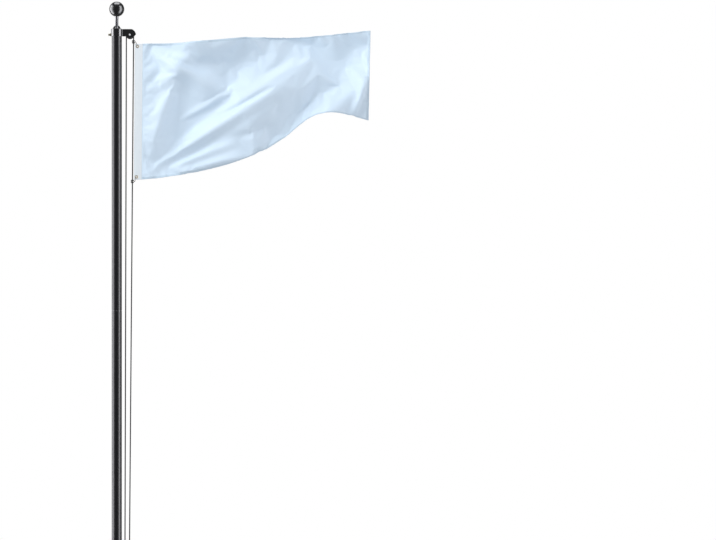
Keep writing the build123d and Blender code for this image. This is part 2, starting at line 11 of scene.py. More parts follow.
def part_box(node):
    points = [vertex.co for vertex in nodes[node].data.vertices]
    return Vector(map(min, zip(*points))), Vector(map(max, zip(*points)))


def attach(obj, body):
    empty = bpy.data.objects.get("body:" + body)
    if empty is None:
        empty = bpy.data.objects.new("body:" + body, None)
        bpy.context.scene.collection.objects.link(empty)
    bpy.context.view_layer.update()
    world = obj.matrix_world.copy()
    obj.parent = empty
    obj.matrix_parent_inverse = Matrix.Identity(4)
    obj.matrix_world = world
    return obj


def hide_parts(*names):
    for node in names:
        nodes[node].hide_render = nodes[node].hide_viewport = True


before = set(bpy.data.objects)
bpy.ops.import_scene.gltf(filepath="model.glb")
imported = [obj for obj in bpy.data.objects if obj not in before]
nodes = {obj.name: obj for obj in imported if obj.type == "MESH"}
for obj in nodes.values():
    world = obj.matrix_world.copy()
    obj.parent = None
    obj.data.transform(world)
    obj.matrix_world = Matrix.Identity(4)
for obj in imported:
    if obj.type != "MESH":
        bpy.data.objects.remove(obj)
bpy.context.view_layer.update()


# Pole tubes. Five drawn aluminium tubes with a satin black powder coat, plugged into one another.
# The coat has a fine orange peel and faint rubs along the tube, and each mouth shows the bare rim
# that was cut after coating.
class Wire:
    """An output of one node. Arithmetic on it adds Math nodes to the same finish."""

    def __init__(self, finish, socket):
        self.finish = finish
        self.socket = socket

    def __add__(self, other):
        return self.finish.math("ADD", self, other)

    def __sub__(self, other):
        return self.finish.math("SUBTRACT", self, other)

    def __rsub__(self, other):
        return self.finish.math("SUBTRACT", other, self)

    def __mul__(self, other):
        return self.finish.math("MULTIPLY", self, other)

    def __abs__(self):
        return self.finish.math("ABSOLUTE", self)

    __radd__ = __add__
    __rmul__ = __mul__


class Finish:
    """A material with one Principled shader. Constants go on its sockets, what varies is fed."""

    def __init__(self, name, **constants):
        self.material = bpy.data.materials.new(name)
        self.material.use_nodes = True
        self.tree = self.material.node_tree
        self.shader = self.tree.nodes["Principled BSDF"]
        for setting, value in constants.items():
            socket = setting.replace("_", " ").title().replace("Ior", "IOR")
            self.shader.inputs[socket].default_value = value
        self.place = self.node("TexCoord", output="Object")
        self.x, self.y, self.z = self.split(self.place, "XYZ")

    def node(self, kind, settings=None, inputs=None, output=0):
        made = self.tree.nodes.new("ShaderNode" + kind)
        for name, value in (settings or {}).items():
            setattr(made, name, value)
        for name, value in (inputs or {}).items():
            self.feed(made.inputs[name], value)
        return Wire(self, made.outputs[output])

    def feed(self, socket, value):
        if isinstance(value, Wire):
            self.tree.links.new(value.socket, socket)
        else:
            socket.default_value = value

    def math(self, operation, *values):
        return self.node("Math", {"operation": operation}, dict(enumerate(values)))

    def split(self, vector, axes):
        """These axes of a vector, each as a number."""
        return tuple(self.node("SeparateXYZ", {}, {0: vector}, axis) for axis in axes)

    def step(self, value, none_at, full_at):
        """0 on one side, 1 on the other, and smooth between these two values."""
        inputs = {"Value": value, "From Min": none_at, "From Max": full_at}
        return self.node("MapRange", {"interpolation_type": "SMOOTHSTEP"}, inputs)

    def grain(self, scale, detail=3.0, stretch=(1, 1, 1)):
        """Noise from 0 to 1 with this many cells a metre, stretched along some axes."""
        shrunk = self.node("VectorMath", {"operation": "MULTIPLY"}, {0: self.place, 1: stretch})
        return self.node("TexNoise", {}, {"Vector": shrunk, "Scale": scale, "Detail": detail})

    def between(self, share, first, second):
        """A colour from first at 0 to second at 1."""
        first, second = (c if isinstance(c, Wire) else (*c, 1) for c in (first, second))
        inputs = {0: share, 6: first, 7: second}
        return self.node("Mix", {"data_type": "RGBA"}, inputs, output=2)

    def uv(self):
        """The piece's own map: metres on the cloth, and turns and diamonds on a rope."""
        return self.split(self.node("UVMap"), "XY")

    def colour(self, value):
        self.feed(self.shader.inputs["Base Color"], value)

    def roughness(self, value):
        self.feed(self.shader.inputs["Roughness"], value)

    def relief(self, height, depth):
        """Bump of a height from 0 to 1, this deep in metres."""
        bump = self.node("Bump", {}, {"Height": height, "Distance": depth})
        self.feed(self.shader.inputs["Normal"], bump)


def dress(finish, *names):
    """Give these CAD nodes the finish."""
    for name in names:
        slots = nodes[name].data.materials
        slots.clear()
        slots.append(finish.material)


tubes = [name for name in nodes if name.startswith("tube_")]
mouths = sorted(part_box(name)[1].z for name in tubes)
tube_pitch = mouths[1] - mouths[0]
powder = (0.0085, 0.0084, 0.0105)
bare_aluminium = (0.8, 0.81, 0.82)
rim_depth, rim_blur = 0.0001, 0.0002
orange_peel = 0.00001

coat = Finish("pole_powder_coat", specular_ior_level=0.9)
from_mouth = coat.math("PINGPONG", coat.z - mouths[0], tube_pitch / 2)
above_foot = coat.step(coat.z, 0.3, 0.5)
rim = coat.step(from_mouth, rim_depth + rim_blur, rim_depth) * above_foot
rubs = coat.step(coat.grain(60.0, 5.0, (1, 1, 0.03)), 0.56, 0.74)
coat.colour(coat.between(rim, powder, bare_aluminium))
coat.feed(coat.shader.inputs["Metallic"], rim)
coat.roughness(0.29 + 0.06 * rubs + 0.05 * coat.grain(9.0))
coat.relief(coat.grain(700.0, 2.0), orange_peel)
dress(coat, *tubes)


# Truck. A cast cap with a glossy enamel over the pole's top, and two pressed cheeks with a flatter
# coat. A narrow pale band where the cheeks end at the cap is a painted highlight. The enamel is
# thin, so the casting's waviness shows a little in its highlights.
enamel = Finish(
    "cap_enamel", specular_ior_level=1.0, coat_weight=1.0, coat_roughness=0.12, coat_ior=1.8
)
enamel_dark, enamel_light = (0.006, 0.006, 0.0075), (0.011, 0.011, 0.013)
casting_waves = 0.00003
enamel.colour(enamel.between(enamel.grain(40.0), enamel_dark, enamel_light))
enamel.roughness(0.2 + 0.08 * enamel.grain(120.0))
enamel.relief(enamel.grain(260.0, 2.0), casting_waves)
dress(enamel, "truck_cap")

pressed = Finish("cheek_coat", specular_ior_level=0.3)
cheek_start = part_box("arm_cheek_front")[0].x
# A narrow pale grey band at the cheeks' ends by the cap: a painted highlight, not bare steel.
highlight_full_to, highlight_none_from = cheek_start + 0.0014, cheek_start + 0.0022
flat_dark, flat_light = (0.0085, 0.0085, 0.009), (0.0125, 0.0125, 0.013)
highlight_grey = (0.42, 0.42, 0.43)
flat_coat = pressed.between(pressed.grain(90.0), flat_dark, flat_light)
painted_highlight_band = pressed.step(pressed.x, highlight_none_from, highlight_full_to)
pressed.colour(pressed.between(painted_highlight_band, flat_coat, highlight_grey))
pressed.roughness(0.5 + 0.12 * pressed.grain(150.0))
coat_grit = 0.00004
pressed.relief(pressed.grain(2200.0, 2.0), coat_grit)
dress(pressed, "arm_cheek_front", "arm_cheek_back", "arm_root")


# Sheave. A turned nylon wheel, dull on its sides, with fine turning rings. Where the rope runs, the
# groove is polished and a little darker.
wheel = Finish("sheave_nylon", specular_ior_level=0.4)
axle = (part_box("sheave")[0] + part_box("sheave")[1]) / 2
sheave_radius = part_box("sheave")[1].x - axle.x
from_axle_x = wheel.x - axle.x
from_axle_z = wheel.z - axle.z
from_axle = wheel.math("SQRT", from_axle_x * from_axle_x + from_axle_z * from_axle_z)
past_recess = wheel.step(from_axle, sheave_radius * 0.62, sheave_radius * 0.72)
side_from, groove_to = 0.0042, 0.0036
groove = past_recess * wheel.step(abs(wheel.y), side_from, groove_to)
ring_pitch, ring_depth = 0.0005, 0.00001
rings = wheel.math("SINE", from_axle * (2 * math.pi / ring_pitch))
dull_nylon, rubbed_nylon = (0.021, 0.021, 0.023), (0.011, 0.011, 0.012)
wheel.colour(wheel.between(groove, dull_nylon, rubbed_nylon))
wheel.roughness(0.55 - 0.25 * groove + 0.08 * wheel.grain(300.0))
wheel.relief(rings * (1 - groove), ring_depth)
dress(wheel, "sheave")


# Axle. A zinc plated bolt with its nut at the front, where the last turns of its thread show. The
# cleat's two screws have the same plating, which is a little cloudy.
zinc = Finish("zinc_plate", metallic=0.4, specular_ior_level=0.6)
zinc.colour(zinc.between(zinc.grain(350.0, 4.0), (0.78, 0.79, 0.81), (0.92, 0.92, 0.93)))
zinc.roughness(0.24 + 0.18 * zinc.grain(700.0, 4.0))
zinc.relief(zinc.grain(900.0), 0.00002)
dress(zinc, "sheave_axle", "axle_nut", "cleat_screw_upper", "cleat_screw_lower")


def thread(name, finish, base, direction, radius, length, pitch):
    """A screw's raised thread round a shank, from base along direction."""
    quarter = math.pi / 2
    bpy.ops.object.select_all(action="DESELECT")
    bpy.ops.mesh.primitive_circle_add(
        vertices=3, radius=0.55 * pitch, location=(radius, 0, 0), rotation=(quarter, quarter, 0)
    )
    bpy.ops.object.transform_apply()
    ridge = bpy.context.object
    ridge.name = ridge.data.name = name
    turns = ridge.modifiers.new("turns", "SCREW")
    turns.screw_offset = pitch
    turns.iterations = int(length / pitch)
    turns.steps = turns.render_steps = 24
    bpy.ops.object.modifier_apply(modifier="turns")
    turned_to = direction.to_track_quat("Z", "Y").to_matrix().to_4x4()
    ridge.data.transform(Matrix.Translation(base) @ turned_to)
    ridge.data.materials.append(finish.material)
    for face in ridge.data.polygons:
        face.use_smooth = True
    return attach(ridge, "root")


nut_front = Vector((axle.x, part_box("axle_nut")[0].y, axle.z))
thread(
    "axle_thread", zinc, nut_front, Vector((0, -1, 0)),
    radius=0.0027, length=0.0014, pitch=0.0005,
)


# Set screw and lock nut. Brass that has dulled to olive, paler where it was handled. The screw's
# thread shows between the lock nut and its slotted head.
dull_brass = Finish("dull_brass", metallic=1.0)
handled = dull_brass.step(dull_brass.grain(420.0, 5.0), 0.4, 0.66)
dull_brass.colour(dull_brass.between(handled, (0.24, 0.21, 0.13), (0.6, 0.56, 0.4)))
dull_brass.roughness(0.48 - 0.2 * handled)
dull_brass.relief(dull_brass.grain(1600.0), 0.00003)
dress(dull_brass, "truck_set_screw", "truck_lock_nut")

lock_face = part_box("truck_lock_nut")[0].x
set_screw_middle = (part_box("truck_lock_nut")[0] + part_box("truck_lock_nut")[1]) / 2
screw_start = Vector((lock_face, set_screw_middle.y, set_screw_middle.z))
thread(
    "set_screw_thread", dull_brass, screw_start, Vector((-1, 0, 0)),
    radius=0.0038, length=0.003, pitch=0.00075,
)


# Spindle and collar. Turned and polished steel, with fine lines round them.
lines_round = (0.5, 0.5, 5200.0)
turned = Finish("turned_steel", metallic=1.0)
turning_lines = turned.grain(1.0, 4.0, lines_round)
turned.colour(turned.between(turned.grain(60.0), (0.15, 0.15, 0.16), (0.21, 0.21, 0.22)))
turned.roughness(0.34 + 0.1 * turning_lines)
turned.relief(turning_lines, 0.000006)
dress(turned, "spindle")

polished = Finish("polished_steel", metallic=1.0)
polished.colour(polished.between(polished.grain(60.0), (0.22, 0.22, 0.23), (0.28, 0.28, 0.29)))
polished.roughness(0.2 + 0.08 * polished.grain(1.0, 4.0, lines_round))
dress(polished, "ball_collar")


# Ball. A spun aluminium ball with a gloss black lacquer, smooth but for a slight ripple.
lacquer = Finish("ball_lacquer", specular_ior_level=1.0, coat_weight=1.0, coat_roughness=0.2)
lacquer_dark, lacquer_light = (0.005, 0.0048, 0.006), (0.008, 0.0078, 0.0095)
spinning_ripple = 0.00002
lacquer.colour(lacquer.between(lacquer.grain(30.0), lacquer_dark, lacquer_light))
lacquer.roughness(0.27 + 0.06 * lacquer.grain(80.0))
lacquer.relief(lacquer.grain(45.0, 1.0), spinning_ripple)
dress(lacquer, "ball")


# Halyard. A 6 mm braided polyester rope in black: one loop over the sheave, down both sides and
# round the cleat, drawn taut. Its strands cross in small diamonds, each raised in its middle, with
# painted shade darkening the hollows between them.
rope_radius = 0.0029
rope_sides = 16
diamonds_round = rope_sides // 2
strand_rise = 0.00017
braid_depth = 0.00025

braid = Finish("rope_braid", sheen_weight=0.12, sheen_roughness=0.5, specular_ior_level=0.35)
turn_of_rope, way_down_rope = braid.uv()
left_run = turn_of_rope * diamonds_round + way_down_rope
right_run = turn_of_rope * diamonds_round - way_down_rope
left_part, right_part = braid.math("FRACT", left_run), braid.math("FRACT", right_run)
crossing = braid.math("FLOOR", left_run) + braid.math("FLOOR", right_run)
left_on_top = braid.math("PINGPONG", crossing, 1.0)
left_bulge = braid.math("SINE", left_part * math.pi)
right_bulge = braid.math("SINE", right_part * math.pi)
strand = left_on_top * left_bulge + (1 - left_on_top) * right_bulge
strand_end = left_on_top * right_bulge + (1 - left_on_top) * left_bulge
across_strand = left_on_top * left_part + (1 - left_on_top) * right_part
yarns = braid.math("SINE", across_strand * (12 * math.pi))
braid_height_and_shade = strand * braid.math("POWER", strand_end, 0.3) * 0.85 + 0.15 * yarns
# The colour follows the strands' height: darker in the hollows and lighter on the crowns, as
# painted shade.
braid.colour(braid.between(braid_height_and_shade, (0.0025, 0.0025, 0.003), (0.015, 0.015, 0.0165)))
braid.roughness(0.62 + 0.15 * braid.grain(900.0))
braid.relief(braid_height_and_shade, braid_depth)


def walk(path, stride):
    """The points at every stride along a path of close points."""
    found, way, goal = [path[0].copy()], 0.0, stride
    for before, after in zip(path, path[1:]):
        run = (after - before).length
        while run and way + run >= goal:
            found.append(before.lerp(after, (goal - way) / run))
            goal += stride
        way += run
    return found


def rope(name, path, radius, body, node):
    """A round braided rope along a path, which stands for a CAD node."""
    length = sum((after - before).length for before, after in zip(path, path[1:]))
    rings = 2 * round(length / (radius * 0.8) / 2)
    # A stride a hair short of even, so that rounding can't lose the last point
    points = walk(path, length / rings * 0.99999)[: rings + 1]
    side = (points[1] - points[0]).orthogonal().normalized()
    verts = []
    for ring, point in enumerate(points):
        ahead = points[min(ring + 1, len(points) - 1)] - points[max(ring - 1, 0)]
        side = (side - ahead * side.dot(ahead) / ahead.length_squared).normalized()
        other = ahead.normalized().cross(side)
        for turn in range(rope_sides):
            angle = 2 * math.pi * turn / rope_sides
            reach = radius * (1 + strand_rise / rope_radius * ((ring + turn) % 2 - 0.5))
            verts.append(point + (side * math.cos(angle) + other * math.sin(angle)) * reach)
    faces, chart = [], []
    for ring in range(len(points) - 1):
        for turn in range(rope_sides):
            near, far = ring * rope_sides, (ring + 1) * rope_sides
            beside = (turn + 1) % rope_sides
            faces.append((near + turn, near + beside, far + beside, far + turn))
            chart += [(turn, ring), (turn + 1, ring), (turn + 1, ring + 1), (turn, ring + 1)]
    last = (len(points) - 1) * rope_sides
    faces.append(tuple(range(rope_sides))[::-1])
    faces.append(tuple(range(last, last + rope_sides)))
    mesh = bpy.data.meshes.new(name)
    mesh.from_pydata(verts, [], faces)
    layer = mesh.uv_layers.new(name="UVMap")
    for corner, (turn, ring) in enumerate(chart):
        layer.data[corner].uv = (turn / rope_sides, ring / 2)
    for face in mesh.polygons:
        face.use_smooth = len(face.vertices) == 4
    mesh.materials.append(braid.material)
    made = bpy.data.objects.new(name, mesh)
    bpy.context.scene.collection.objects.link(made)
    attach(made, body)
    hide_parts(node)
    return made


def line_ends(node):
    """The middles of a straight line's upper and lower ends."""
    points = [vertex.co for vertex in nodes[node].data.vertices]
    heights = [point.z for point in points]
    found = []
    for height in (max(heights), min(heights)):
        ring = [point for point in points if abs(point.z - height) < 0.0005]
        found.append(sum(ring, Vector()) / len(ring))
    return found


inner_top, inner_end = line_ends("halyard_inner_line")
outer_top, outer_end = line_ends("halyard_outer_line")
pitch_radius = (inner_top - axle).length
rope("inner_line_rope", [inner_top, inner_end], rope_radius, "root", "halyard_inner_line")
rope("outer_line_rope", [outer_top, outer_end], rope_radius, "root", "halyard_outer_line")
over_start = math.atan2(inner_top.z - axle.z, inner_top.x - axle.x)
over_end = math.atan2(outer_top.z - axle.z, outer_top.x - axle.x)
over_sheave = []
for number in range(61):
    angle = over_start + (over_end - over_start) * number / 60
    over_sheave.append(axle + Vector((math.cos(angle), 0, math.sin(angle))) * pitch_radius)
rope("sheave_rope", over_sheave, rope_radius, "root", "halyard_over_sheave")


# Cleat. A die-cast aluminium cleat with a black coat, screwed through the wall of the pole. The
# halyard comes down behind its horns, takes a round turn on its neck and goes up again.
cast = Finish("cleat_coat", specular_ior_level=0.5)
cast_dark, cast_light = (0.011, 0.011, 0.012), (0.018, 0.018, 0.019)
sand_grain = 0.00006
cast.colour(cast.between(cast.grain(70.0), cast_dark, cast_light))
cast.roughness(0.36 + 0.14 * cast.grain(220.0))
cast.relief(cast.grain(900.0, 2.0), sand_grain)
dress(cast, "cleat")


def smooth_line(points):
    """The close points of a smooth curve that follows these."""
    curve = bpy.data.curves.new("route", "CURVE")
    curve.dimensions = "3D"
    curve.resolution_u = 12
    spline = curve.splines.new("NURBS")
    spline.points.add(len(points) - 1)
    for control, point in zip(spline.points, points):
        control.co = (*point, 1)
    spline.order_u = 3
    spline.use_endpoint_u = True
    guide = bpy.data.objects.new("route", curve)
    bpy.context.scene.collection.objects.link(guide)
    bpy.context.view_layer.update()
    smoothed = guide.evaluated_get(bpy.context.evaluated_depsgraph_get())
    line = bpy.data.meshes.new_from_object(smoothed)
    path = [vertex.co.copy() for vertex in line.vertices]
    bpy.data.objects.remove(guide)
    bpy.data.meshes.remove(line)
    return path


# Down the back of the neck, under it, up its front and over, then down and under once more, and up
beside, under, middle, over = 0.0103, 1.2287, 1.25, 1.2713
turns_route = [
    inner_end,
    (0.0327, beside, middle), (0.0327, beside, under),
    (0.036, -beside, under), (0.0365, -beside, middle), (0.037, -beside, over),
    (0.0383, beside, over), (0.0388, beside, middle), (0.0393, beside, under),
    (0.0426, -beside, under), (0.0428, -beside, middle),
    outer_end,
]
rope("round_turns_rope", smooth_line(turns_route), rope_radius, "root", "halyard_round_turns")


# Flag. One width of pale blue satin polyester, hemmed all round, flying in a light wind. Its folds
# fan out from the lower hoist corner, and a little spare length lets it find its own creases.
heading_points = [vertex.co for vertex in nodes["flag_heading"].data.vertices]


def heading_corner(direction):
    """The middle of the heading's points that lie furthest this way."""
    furthest = max(point.dot(direction) for point in heading_points)
    found = [point for point in heading_points if point.dot(direction) > furthest - 0.0001]
    return sum(found, Vector()) / len(found)


top_hoist = heading_corner(Vector((-1, 0, 1)))
low_hoist = heading_corner(Vector((-1, 0, -1)))
top_seam = heading_corner(Vector((1, 0, 1)))
heading_width = (top_seam - top_hoist).length
flag_hoist = (top_hoist - low_hoist).length
flag_up = (top_hoist - low_hoist).normalized()
flag_across = (top_seam - top_hoist).normalized()
flag_out = flag_across.cross(flag_up)


def on_flag(along, up, out=0.0):
    """A point by its way along the fly, up from the top edge at the hoist, and out to the front."""
    return top_hoist + flag_across * along + flag_up * up + flag_out * out


lap = 0.008
cloth_start = heading_width - lap
flag_fly = 1.18
cloth_length = 1.16
hem = 0.012
columns, rows = 140, 75
# The edges as they fly, from the upper hoist corner: way along the fly, and way up
top_edge = [(0, 0), (0.23, 0.006), (0.53, 0.034), (0.78, 0.038), (1.178, 0.072)]
bottom_edge = [
    (0, -0.68), (0.15, -0.662), (0.4, -0.612), (0.56, -0.56), (0.72, -0.478),
    (0.84, -0.385), (0.92, -0.346), (1.04, -0.342), (1.172, -0.372),
]
# Each fold has its start and end on the flag, its height, and its half width at both ends
folds = [
    ((0.03, -0.66), (0.88, -0.125), 0.062, 0.014, 0.08),
    ((0.14, -0.645), (0.9, -0.215), 0.02, 0.016, 0.036),
    ((0.7, 0.16), (0.42, -0.25), -0.026, 0.06, 0.075),
    ((0.07, -0.60), (0.72, -0.15), 0.016, 0.010, 0.026),
    ((0.035, -0.645), (0.2, -0.18), 0.03, 0.014, 0.058),
    ((0.04, -0.012), (0.38, -0.215), 0.034, 0.014, 0.06),
    ((0.06, 0.0), (0.62, 0.038), 0.042, 0.03, 0.088),
    ((0.05, -0.012), (0.27, -0.08), 0.014, 0.010, 0.022),
    ((0.3, -0.42), (0.63, -0.252), -0.02, 0.011, 0.016),
    ((0.2, -0.4), (0.42, -0.27), 0.014, 0.012, 0.02),
    ((0.12, -0.672), (0.54, -0.56), 0.014, 0.008, 0.022),
    ((0.08, -0.66), (0.5, -0.49), 0.014, 0.008, 0.026),
    ((0.1, -0.655), (0.46, -0.5), 0.018, 0.014, 0.03),
    ((0.11, -0.668), (0.52, -0.545), 0.03, 0.018, 0.05),
    ((0.13, -0.24), (0.33, 0.03), 0.022, 0.055, 0.07),
    ((0.8, -0.52), (1.25, -0.1), 0.085, 0.085, 0.11),
    ((0.7, 0.045), (1.22, 0.065), 0.042, 0.03, 0.055),
    ((1.1, -0.4), (1.15, -0.2), 0.026, 0.03, 0.03),
]
# The long wave under the folds, and how far it hangs back behind the heading
wave_height, waves, wave_lean, wave_start = 0.03, 1.2, 0.3, 0.9
hang_back = 0.03


def ease(share):
    """A smooth rise from 0 to 1 over shares from 0 to 1."""
    share = min(1.0, max(0.0, share))
    return share * share * (3 - 2 * share)


def edge_point(edge, share):
    """A point at a share of the way along an edge, on a smooth line through its points."""
    ways = [0.0]
    for before, after in zip(edge, edge[1:]):
        ways.append(ways[-1] + math.dist(before, after))
    way = share * ways[-1]
    span = min(max(sum(w < way for w in ways) - 1, 0), len(edge) - 2)
    left, right = max(span - 1, 0), min(span + 2, len(edge) - 1)
    step = ways[span + 1] - ways[span]
    part = (way - ways[span]) / step
    found = []
    for axis in (0, 1):
        here, there = edge[span][axis], edge[span + 1][axis]
        slope_here = (there - edge[left][axis]) / (ways[span + 1] - ways[left])
        slope_there = (edge[right][axis] - here) / (ways[right] - ways[span])
        found.append(
            (2 * part**3 - 3 * part**2 + 1) * here
            + (part**3 - 2 * part**2 + part) * step * slope_here
            + (3 * part**2 - 2 * part**3) * there
            + (part**3 - part**2) * step * slope_there
        )
    return Vector(found)


def fold_height(point, fold):
    """How far one fold lifts the cloth at a point of the flag's plane."""
    start, end, height, narrow, wide = fold
    line = Vector(end) - Vector(start)
    offset = point - Vector(start)
    share = offset.dot(line) / line.length_squared
    away = (offset.x * line.y - offset.y * line.x) / line.length
    width = narrow + (wide - narrow) * min(1.0, max(0.0, share))
    fading = ease(share / 0.45) * ease((1.35 - share) / 0.45) * min(1.0, width / 0.03)
    return height * fading * math.exp(-((away / width) ** 2))


def flying_depth(point, along, down):
    """How far the cloth stands out to the front, at its shares along the fly and down the hoist."""
    wave = math.sin(2 * math.pi * (waves * along - wave_lean * down) - wave_start)
    wave *= wave_height * ease(along / 0.3)
    return wave - hang_back * ease(along / 0.35) + sum(fold_height(point, fold) for fold in folds)


def shares(side, count):
    """Even shares of a side from 0 to 1, with three more in and beside the hem at each end."""
    ends = [hem / 2 / side, hem / side, (hem + 0.001) / side]
    middle = [ends[-1] + (1 - 2 * ends[-1]) * number / count for number in range(1, count)]
    return [0.0, *ends, *middle, *[1 - end for end in reversed(ends)], 1.0]


across_shares = shares(cloth_length, columns)
down_shares = shares(flag_hoist, rows)
lines_across, lines_down = len(across_shares), len(down_shares)
verts, flat_uv = [], []
for along in across_shares:
    top, bottom = edge_point(top_edge, along), edge_point(bottom_edge, along)
    for down in down_shares:
        point = top.lerp(bottom, down)
        point.x = cloth_start + point.x * (1 - cloth_start / flag_fly)
        depth = flying_depth(point, along, down) * ease(along / 0.1)
        verts.append(on_flag(point.x, point.y, depth))
        flat_uv.append((along * cloth_length, (1 - down) * flag_hoist))
faces = [
    (first, first + 1, first + lines_down + 1, first + lines_down)
    for first in range(len(verts) - lines_down)
    if (first + 1) % lines_down
]
mesh = bpy.data.meshes.new("flag_field")
mesh.from_pydata(verts, [], faces)
layer = mesh.uv_layers.new(name="UVMap")
for loop in mesh.loops:
    layer.data[loop.index].uv = flat_uv[loop.vertex_index]
field = bpy.data.objects.new("flag_field", mesh)
bpy.context.scene.collection.objects.link(field)
held = field.vertex_groups.new(name="held")
hemmed = field.vertex_groups.new(name="hemmed")
# Held fast at the heading, and ever more loosely at the fly end, the hems and the field
for column in range(lines_across):
    for row in range(lines_down):
        if column < 4:
            hold = 1.0
        elif column == lines_across - 1:
            hold = 0.35
        elif row in (0, lines_down - 1):
            hold = 0.25
        else:
            hold = 0.03
        held.add([column * lines_down + row], hold, "REPLACE")
        doubled = row < 3 or row > lines_down - 4 or column > lines_across - 4
        hemmed.add([column * lines_down + row], float(doubled), "REPLACE")
# The wind bears the cloth's weight, and it grows by its spare length
cloth = field.modifiers.new("flying", "CLOTH")
cloth.settings.quality = 6
cloth.settings.mass = 0.15
cloth.settings.tension_stiffness = 25
cloth.settings.compression_stiffness = 25
cloth.settings.shear_stiffness = 8
cloth.settings.bending_stiffness = 1.2
cloth.settings.tension_damping = 8
cloth.settings.compression_damping = 8
cloth.settings.air_damping = 2
cloth.settings.vertex_group_mass = "held"
cloth.settings.pin_stiffness = 1.0
cloth.settings.shrink_min = -0.022
cloth.settings.effector_weights.gravity = 0.0
cloth.collision_settings.use_collision = False
cloth.collision_settings.use_self_collision = False
simulated_frames = 24
cloth.point_cache.frame_end = simulated_frames
for number in range(1, simulated_frames + 1):
    bpy.context.scene.frame_set(number)
bpy.ops.object.select_all(action="DESELECT")
bpy.context.view_layer.objects.active = field
bpy.ops.object.modifier_apply(modifier="flying")
for face in field.data.polygons:
    face.use_smooth = True
smooth = field.modifiers.new("smooth", "SUBSURF")
smooth.levels = smooth.render_levels = 1
thick = field.modifiers.new("thick", "SOLIDIFY")
thick.thickness = 0.0011
thick.vertex_group = "hemmed"
thick.thickness_vertex_group = 0.4
thick.offset = 0.0
bpy.context.view_layer.objects.active = field
for name in ("smooth", "thick"):
    bpy.ops.object.modifier_apply(modifier=name)
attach(field, "flag")
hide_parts("flag_cloth")


def sewn(finish, across, along, rows_at):
    """Rows of stitches where across is one of these, a stitch and its gap every 3.4 mm."""
    thread_half, stitch_pitch, gap = 0.0003, 0.0034, 0.0008
    dash = finish.step(finish.math("PINGPONG", along, stitch_pitch / 2), gap / 2, gap)
    found = None
    for row in rows_at:
        on_row = finish.step(abs(across - row), thread_half * 1.5, thread_half * 0.5)
        found = finish.math("MAXIMUM", found, on_row) if found else on_row
    return found * dash


satin = Finish("flag_satin", sheen_weight=0.25, sheen_roughness=0.35, specular_ior_level=0.4)
thread_pitch, cloth_depth = 0.0007, 0.00012
weave_along, weave_up = satin.uv()
warp = satin.math("SINE", weave_along * (2 * math.pi / thread_pitch))
weft = satin.math("SINE", weave_up * (2 * math.pi / thread_pitch))
weave = warp * weft
from_edge = satin.math("MINIMUM", weave_up, flag_hoist - weave_up)
from_fly = cloth_length - weave_along
from_hem = satin.math("MINIMUM", from_edge, from_fly)
in_hem = satin.step(from_hem, hem + 0.0006, hem - 0.0006)
edge_stitches = sewn(satin, from_edge, weave_along, [hem - 0.002])
fly_stitches = sewn(satin, from_fly, weave_up, [hem - 0.002, hem - 0.0065])
stitches = satin.math("MAXIMUM", edge_stitches, fly_stitches)
deep_blue, pale_blue, doubled_blue = (0.66, 0.79, 0.91), (0.69, 0.815, 0.93), (0.56, 0.69, 0.8)
thread_blue = (0.78, 0.86, 0.93)
cloth_blue = satin.between(satin.grain(14.0), deep_blue, pale_blue)
hem_blue = satin.between(in_hem, cloth_blue, doubled_blue)
satin.colour(satin.between(stitches, hem_blue, thread_blue))
satin.roughness(0.48 + 0.06 * weave + 0.1 * in_hem)
satin.relief(weave * 0.25 + stitches * 2.0, cloth_depth)
field.data.materials.append(satin.material)


# Heading. A strip of white canvas folded over the hoist and sewn through in four rows. It is firm,
# a little drawn in at the stitches, and carries the grommets.
bpy.ops.object.select_all(action="DESELECT")
bpy.ops.mesh.primitive_cube_add(size=1)
heading = bpy.context.object
heading.name = heading.data.name = "canvas_heading"
heading_thickness, folded_edge = 0.0022, 0.0009
heading.data.transform(Matrix.Diagonal((heading_width, flag_hoist, heading_thickness, 1)))
seam_rows = [0.003, 0.0065, heading_width - 0.0065, heading_width - 0.003]
rows_between = [0.0015, 0.0048, 0.0085, 0.014, 0.02, 0.026, 0.0315, 0.0352, 0.0385]
steps_down = 96
bpy.ops.object.mode_set(mode="EDIT")
bpy.ops.mesh.select_all(action="SELECT")
bpy.ops.mesh.bevel(offset=folded_edge, segments=3, affect="EDGES")
for row in [*seam_rows, *rows_between]:
    bpy.ops.mesh.select_all(action="SELECT")
    bpy.ops.mesh.bisect(plane_co=(row - heading_width / 2, 0, 0), plane_no=(1, 0, 0))
for number in range(1, steps_down):
    bpy.ops.mesh.select_all(action="SELECT")
    height = flag_hoist * (number / steps_down - 0.5)
    bpy.ops.mesh.bisect(plane_co=(0, height, 0), plane_no=(0, 1, 0))
bpy.ops.object.mode_set(mode="OBJECT")
layer = heading.data.uv_layers.active
for loop in heading.data.loops:
    flat = heading.data.vertices[loop.vertex_index].co
    layer.data[loop.index].uv = (flat.x + heading_width / 2, flat.y + flag_hoist / 2)
seam_pinch, seam_half_width = 0.26, 0.0011
billow_height, wander_width = 0.00035, 0.0004
for vertex in heading.data.vertices:
    flat = vertex.co
    across = flat.x + heading_width / 2
    from_seam = min(abs(across - row) for row in seam_rows)
    pinch = 1 - seam_pinch * math.exp(-((from_seam / seam_half_width) ** 2))
    billow = billow_height * noise.noise(Vector((across * 30, flat.y * 22, 3.0)))
    billow *= ease((0.04 - abs(across)) / 0.02)
    wander = wander_width * noise.noise(Vector((flat.y * 16, 8.0 + across * 2, 1.0)))
    vertex.co = on_flag(across + wander, flat.y - flag_hoist / 2, flat.z * pinch + billow)
